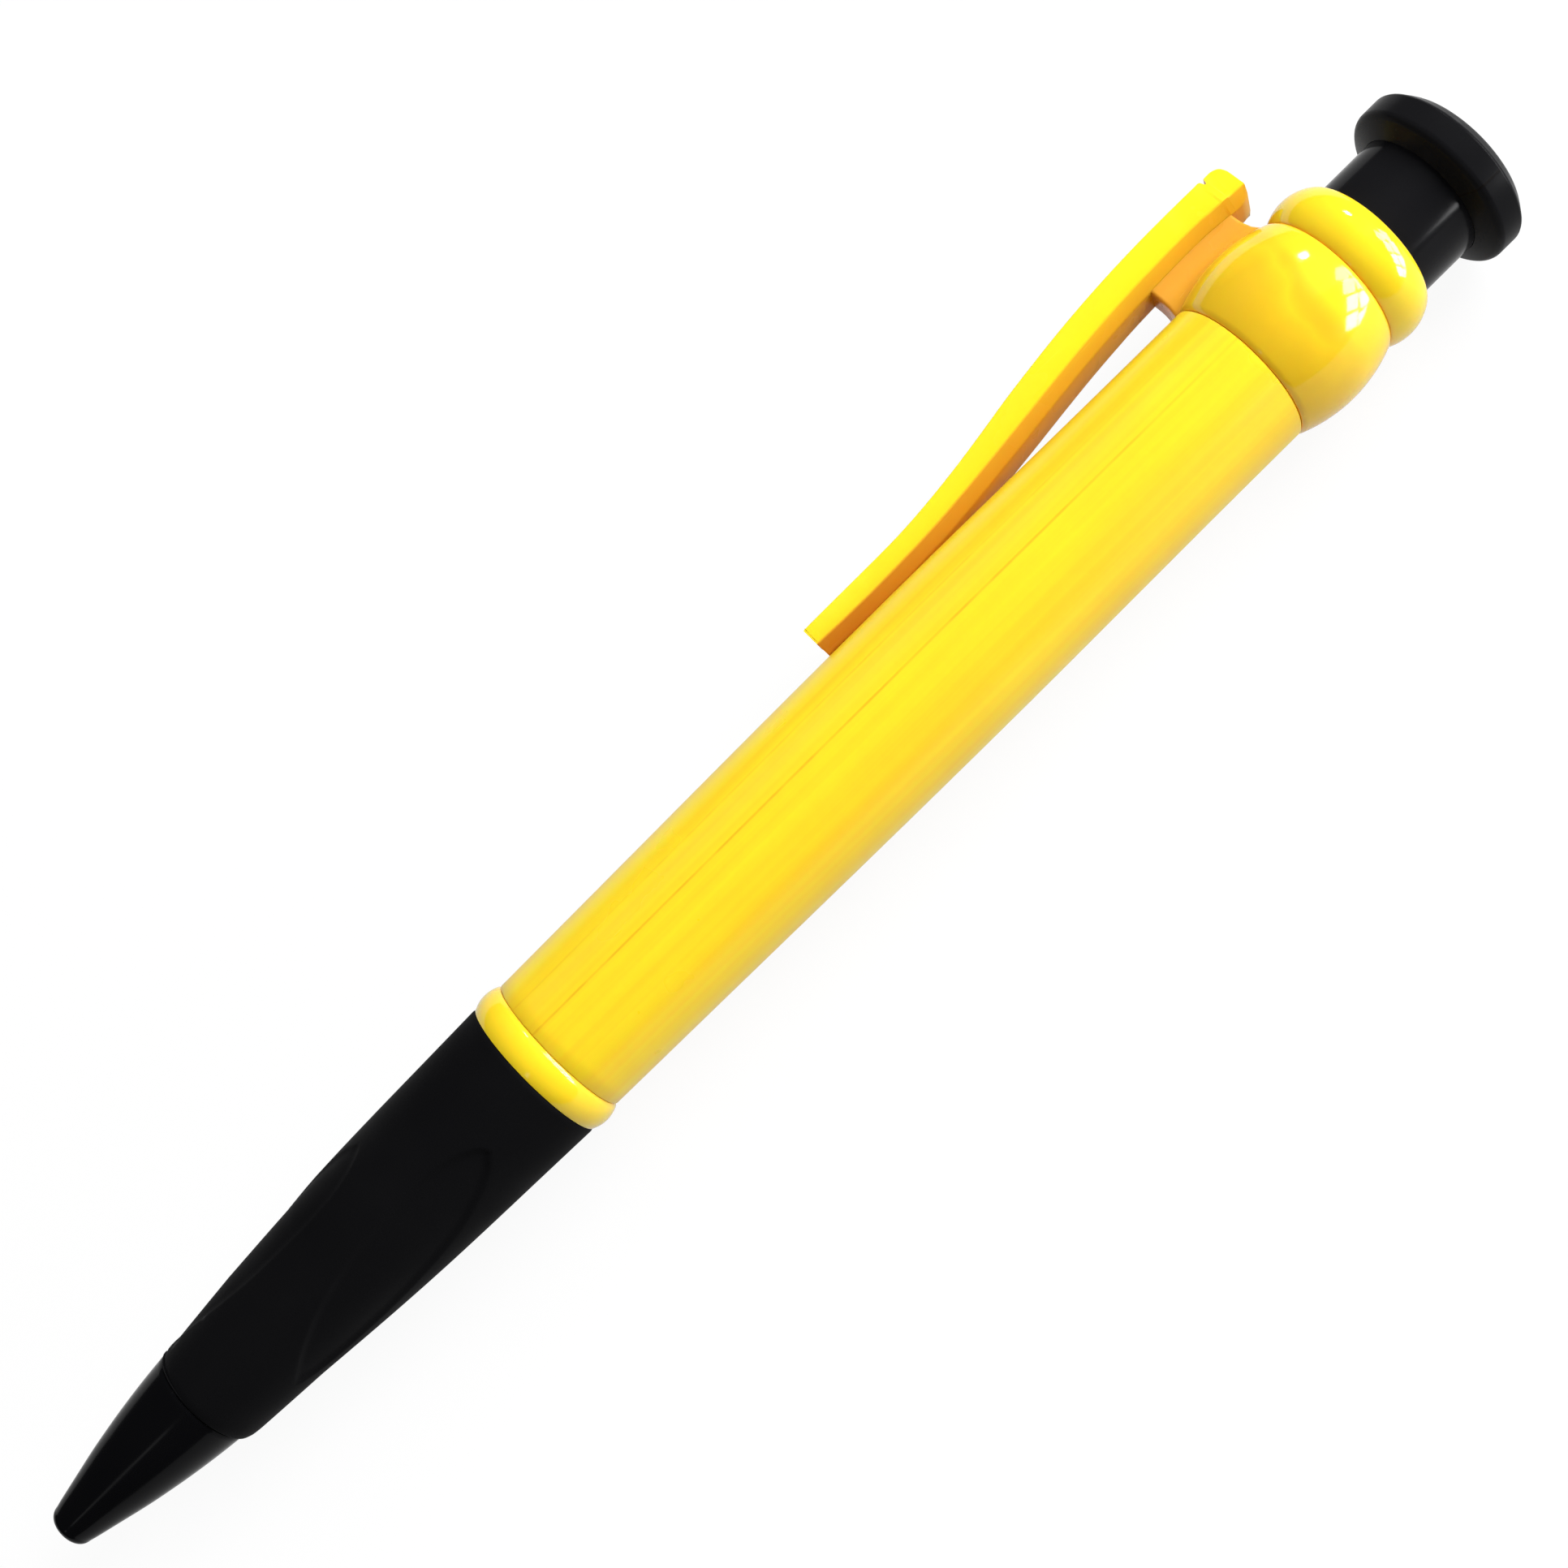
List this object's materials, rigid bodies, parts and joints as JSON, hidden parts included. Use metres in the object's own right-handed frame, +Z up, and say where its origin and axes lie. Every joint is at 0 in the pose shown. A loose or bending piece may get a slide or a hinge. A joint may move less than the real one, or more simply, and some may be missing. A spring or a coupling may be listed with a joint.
{
  "type": "giant ballpoint pen",
  "caption": "Oversized retractable ballpoint pen with soft grip, ball-shaped head, side clip and push button that drives a spring-loaded refill.",
  "frame": {"origin": "centre of the bounding box in plan, at the height of its lowest point", "axes": "+X from the nose to the push button along the pen, +Y towards the clip, +Z up with the pen lying down"},
  "size_m": [0.28, 0.0384, 0.0281],
  "materials": {
    "yellow_satin": "satin moulded plastic",
    "yellow_gloss": "polished moulded plastic",
    "black_soft": "matte soft-touch rubber",
    "black_gloss": "polished moulded plastic",
    "inner_white": "natural moulded plastic",
    "inner_black": "moulded plastic",
    "tube_clear": "drawn plastic tube",
    "ink_blue": "thick ink, stands in as a solid",
    "brass": "turned",
    "steel": "bright"
  },
  "bodies": {
    "pen_body": {"barrel": "yellow_satin", "lower_ring": "yellow_gloss", "grip_sleeve": "black_soft", "grip_core": "inner_black", "nose_cone": "black_gloss", "head_ball": "yellow_gloss", "head_collar": "yellow_gloss", "cam_sleeve": "inner_white", "refill_guide": "inner_white", "return_spring": "steel"},
    "button": {"button_cap": "black_gloss", "button_stem": "black_gloss", "plunger": "inner_white"},
    "refill": {"cam_rotor": "inner_white", "refill_rod": "inner_white", "refill_tube": "tube_clear", "refill_plug": "inner_white", "refill_point": "brass", "writing_ball": "steel", "ink_column": "ink_blue"},
    "clip": {"clip": "yellow_gloss"}
  },
  "joints": [
    {"name": "button_press", "type": "slide", "parent": "pen_body", "child": "button", "axis": [-1, 0, 0], "range_m": [0, 0.009], "stiffness_N_per_m": 600, "springref_m": -0.01},
    {"name": "refill_slide", "type": "slide", "parent": "pen_body", "child": "refill", "axis": [-1, 0, 0], "range_m": [0, 0.009], "deforming": ["return_spring"]},
    {"name": "clip_flex", "type": "hinge", "parent": "pen_body", "child": "clip", "pos_m": [0.113, 0.00784, 0.01404], "axis": [0, 0, -1], "range_deg": [0, 3], "stiffness_Nm_per_rad": 15}
  ],
  "couplings": [
    {"joint": "refill_slide", "follows": "button_press", "ratio": 1}
  ]
}
